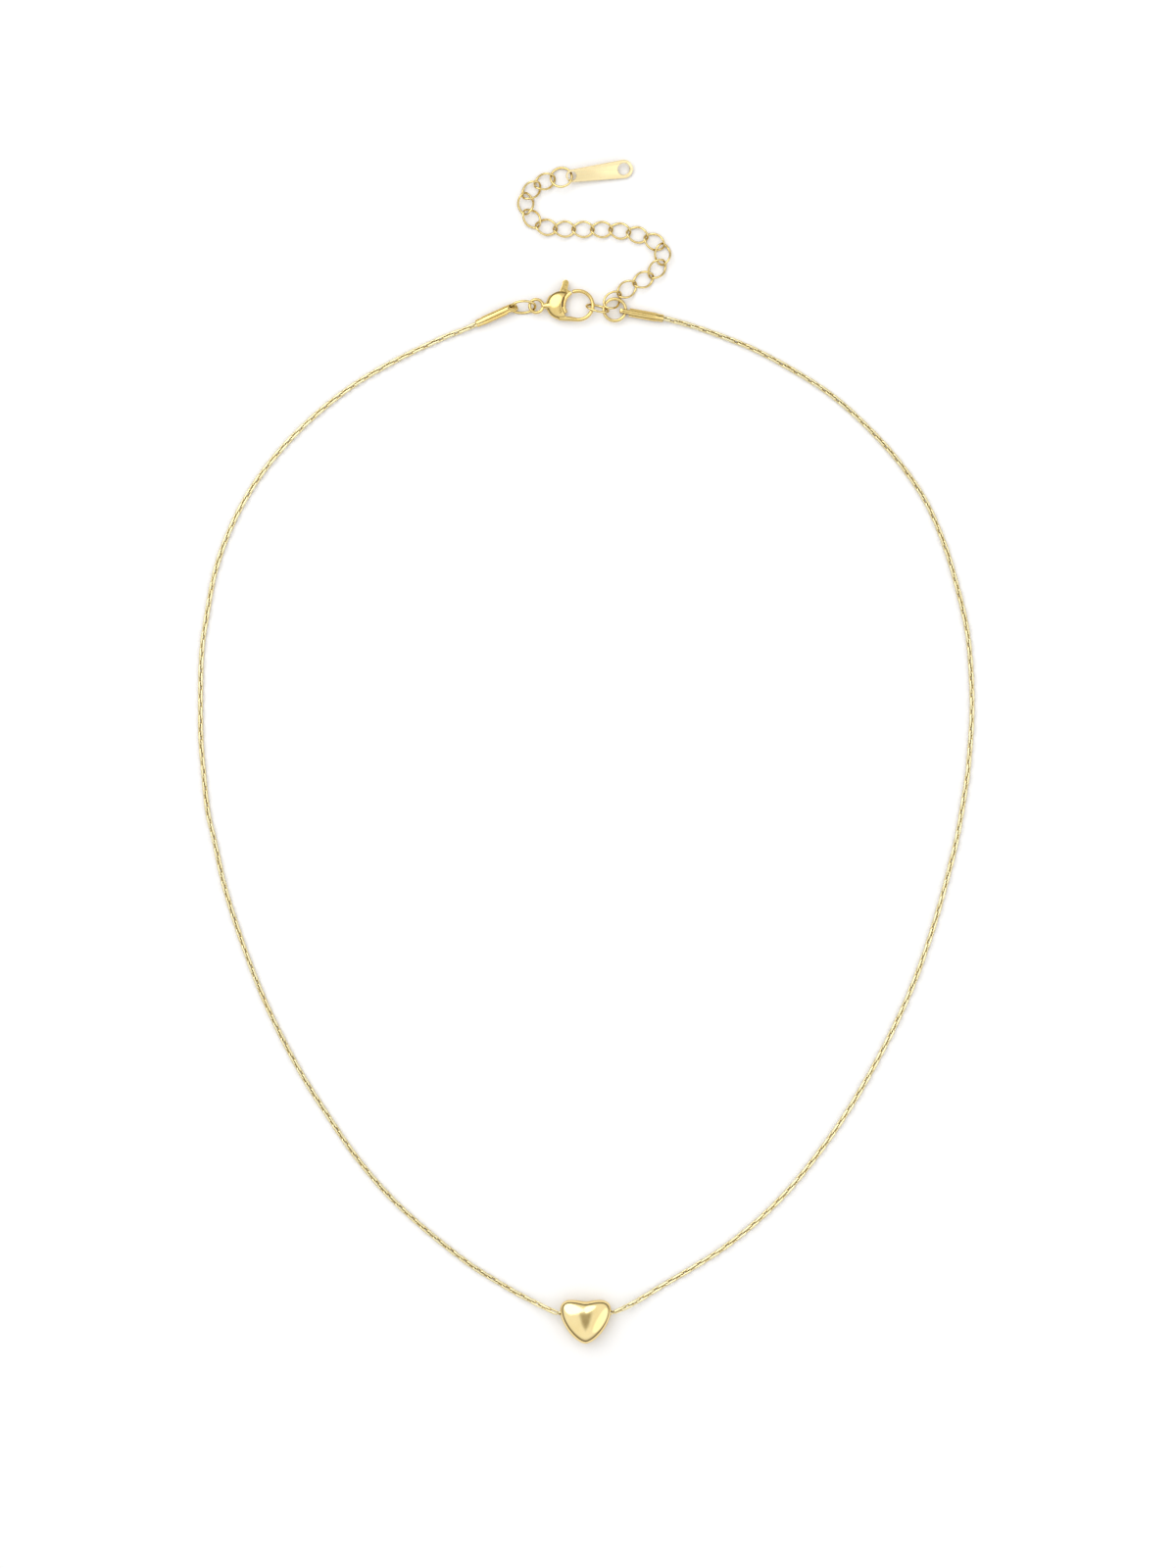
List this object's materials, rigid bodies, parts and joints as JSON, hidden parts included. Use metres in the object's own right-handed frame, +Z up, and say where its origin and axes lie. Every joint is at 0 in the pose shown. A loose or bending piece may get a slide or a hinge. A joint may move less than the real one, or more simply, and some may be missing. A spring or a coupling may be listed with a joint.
{
  "type": "pendant necklace",
  "caption": "Gold-toned necklace laid flat: a puffed heart bead on a fine box-link chain, with a sprung lobster clasp and an extension chain that ends in a flat tag.",
  "frame": {"origin": "middle of the closed necklace as it lies, on the surface it lies on", "axes": "+Z up from the surface, +Y from the heart bead towards the clasp, +X to the right as seen from above"},
  "size_m": [0.112, 0.1704, 0.0032],
  "materials": {
    "chain": "polished",
    "bead": "mirror polished",
    "findings": "polished",
    "links": "polished",
    "tag": "satin",
    "spring": "drawn wire"
  },
  "bodies": {
    "bead_run": {"chain_centre": "chain"},
    "heart": {"heart_bead": "bead"},
    "left_lower": {"chain_left_lower": "chain"},
    "left_upper": {"chain_left_upper": "chain", "end_cap_left": "findings"},
    "right_lower": {"chain_right_lower": "chain"},
    "right_upper": {"chain_right_upper": "chain", "end_cap_right": "findings"},
    "connector": {"connector_link": "findings"},
    "clasp": {"clasp_body": "findings", "clasp_pin": "findings", "clasp_spring": "spring"},
    "lever": {"clasp_lever": "findings"},
    "jump_ring": {"jump_ring": "findings"},
    "hook_link": {"hook_link": "links"},
    "link_01": {"extension_link_01": "links"},
    "link_02": {"extension_link_02": "links"},
    "link_03": {"extension_link_03": "links"},
    "link_04": {"extension_link_04": "links"},
    "link_05": {"extension_link_05": "links"},
    "link_06": {"extension_link_06": "links"},
    "link_07": {"extension_link_07": "links"},
    "link_08": {"extension_link_08": "links"},
    "link_09": {"extension_link_09": "links"},
    "link_10": {"extension_link_10": "links"},
    "link_11": {"extension_link_11": "links"},
    "link_12": {"extension_link_12": "links"},
    "link_13": {"extension_link_13": "links"},
    "link_14": {"extension_link_14": "links"},
    "link_15": {"extension_link_15": "links"},
    "link_16": {"extension_link_16": "links"},
    "tag_ring": {"tag_ring": "findings"},
    "tag": {"tag": "tag"}
  },
  "joints": [
    {"name": "heart_spin", "type": "hinge", "parent": "bead_run", "child": "heart", "pos_m": [0, -0.0807, 0.0016], "axis": [1, 0, 0], "continuous": true},
    {"name": "neck_loop_open", "type": "hinge", "parent": "bead_run", "child": "left_lower", "pos_m": [-0.00392, -0.08075, 0.0016], "axis": [0, 0, 1], "range_deg": [-8, 8]},
    {"name": "left_side_bend", "type": "hinge", "parent": "left_lower", "child": "left_upper", "pos_m": [-0.0537, -0.012, 0.0004], "axis": [0, 0, 1], "range_deg": [-16, 16]},
    {"name": "right_shoulder", "type": "hinge", "parent": "bead_run", "child": "right_lower", "pos_m": [0.00392, -0.08065, 0.0016], "axis": [0, 0, 1], "range_deg": [-8, 8]},
    {"name": "right_side_bend", "type": "hinge", "parent": "right_lower", "child": "right_upper", "pos_m": [0.0549, -0.0044, 0.0004], "axis": [0, 0, 1], "range_deg": [-16, 16]},
    {"name": "connector_swing", "type": "hinge", "parent": "left_upper", "child": "connector", "pos_m": [-0.01062, 0.06399, 0.00095], "axis": [0, 0, 1], "range_deg": [-3, 3]},
    {"name": "clasp_swing", "type": "hinge", "parent": "connector", "child": "clasp", "pos_m": [-0.0076, 0.0642, 0.00095], "axis": [0, 0, -1], "range_deg": [-3, 3]},
    {"name": "lever_press", "type": "hinge", "parent": "clasp", "child": "lever", "pos_m": [-0.00365, 0.06335, 0.00095], "axis": [0, 0, 1], "range_deg": [0, 22], "stiffness_Nm_per_rad": 0.002, "springref_deg": -8.59},
    {"name": "jump_ring_turn", "type": "hinge", "parent": "right_upper", "child": "jump_ring", "pos_m": [0.0042, 0.06372, 0.0008], "axis": [0, 0, 1], "range_deg": [-4, 4]},
    {"name": "hook_link_swing", "type": "hinge", "parent": "jump_ring", "child": "hook_link", "pos_m": [0.00265, 0.0637, 0.0009], "axis": [0, 0, -1], "range_deg": [-4, 4]},
    {"name": "link_01_swing", "type": "hinge", "parent": "jump_ring", "child": "link_01", "pos_m": [0.0042, 0.06372, 0.0009], "axis": [0, 0, -1], "range_deg": [-4, 4]},
    {"name": "link_02_swing", "type": "hinge", "parent": "link_01", "child": "link_02", "pos_m": [0.00485, 0.0659, 0.0007], "axis": [0, 0, 1], "range_deg": [-15, 15]},
    {"name": "link_03_swing", "type": "hinge", "parent": "link_02", "child": "link_03", "pos_m": [0.0071, 0.0675, 0.0006], "axis": [0, 0, -1], "range_deg": [-15, 15]},
    {"name": "link_04_swing", "type": "hinge", "parent": "link_03", "child": "link_04", "pos_m": [0.0095, 0.0686, 0.0006], "axis": [0, 0, 1], "range_deg": [-15, 15]},
    {"name": "link_05_swing", "type": "hinge", "parent": "link_04", "child": "link_05", "pos_m": [0.0111, 0.0706, 0.0006], "axis": [0, 0, -1], "range_deg": [-15, 15]},
    {"name": "link_06_swing", "type": "hinge", "parent": "link_05", "child": "link_06", "pos_m": [0.0111, 0.0729, 0.0006], "axis": [0, 0, 1], "range_deg": [-15, 12]},
    {"name": "link_07_swing", "type": "hinge", "parent": "link_06", "child": "link_07", "pos_m": [0.0087, 0.0742, 0.0006], "axis": [0, 0, -1], "range_deg": [-15, 15]},
    {"name": "link_08_swing", "type": "hinge", "parent": "link_07", "child": "link_08", "pos_m": [0.0062, 0.0749, 0.0006], "axis": [0, 0, 1], "range_deg": [-15, 15]},
    {"name": "link_09_swing", "type": "hinge", "parent": "link_08", "child": "link_09", "pos_m": [0.00365, 0.0753, 0.0006], "axis": [0, 0, -1], "range_deg": [-15, 15]},
    {"name": "link_10_swing", "type": "hinge", "parent": "link_09", "child": "link_10", "pos_m": [0.00095, 0.0753, 0.0006], "axis": [0, 0, 1], "range_deg": [-15, 15]},
    {"name": "link_11_swing", "type": "hinge", "parent": "link_10", "child": "link_11", "pos_m": [-0.0017, 0.07535, 0.0006], "axis": [0, 0, -1], "range_deg": [-15, 15]},
    {"name": "link_12_swing", "type": "hinge", "parent": "link_11", "child": "link_12", "pos_m": [-0.0044, 0.0754, 0.0006], "axis": [0, 0, 1], "range_deg": [-15, 15]},
    {"name": "link_13_swing", "type": "hinge", "parent": "link_12", "child": "link_13", "pos_m": [-0.0069, 0.0759, 0.0006], "axis": [0, 0, -1], "range_deg": [-15, 15]},
    {"name": "link_14_swing", "type": "hinge", "parent": "link_13", "child": "link_14", "pos_m": [-0.0086, 0.0779, 0.0006], "axis": [0, 0, 1], "range_deg": [-15, 15]},
    {"name": "link_15_swing", "type": "hinge", "parent": "link_14", "child": "link_15", "pos_m": [-0.00865, 0.0802, 0.0006], "axis": [0, 0, -1], "range_deg": [-15, 15]},
    {"name": "link_16_swing", "type": "hinge", "parent": "link_15", "child": "link_16", "pos_m": [-0.007, 0.0817, 0.0006], "axis": [0, 0, 1], "range_deg": [-15, 15]},
    {"name": "tag_ring_swing", "type": "hinge", "parent": "link_16", "child": "tag_ring", "pos_m": [-0.0048, 0.0827, 0.0008], "axis": [0, 0, -1], "range_deg": [-8, 8]},
    {"name": "tag_swing", "type": "hinge", "parent": "tag_ring", "child": "tag", "pos_m": [-0.00197, 0.0829, 0.001], "axis": [0, 0, 1], "range_deg": [-6, 6]}
  ],
  "couplings": [
    {"joint": "left_side_bend", "follows": "neck_loop_open", "ratio": -2},
    {"joint": "right_shoulder", "follows": "neck_loop_open", "ratio": -1},
    {"joint": "right_side_bend", "follows": "neck_loop_open", "ratio": 2}
  ]
}
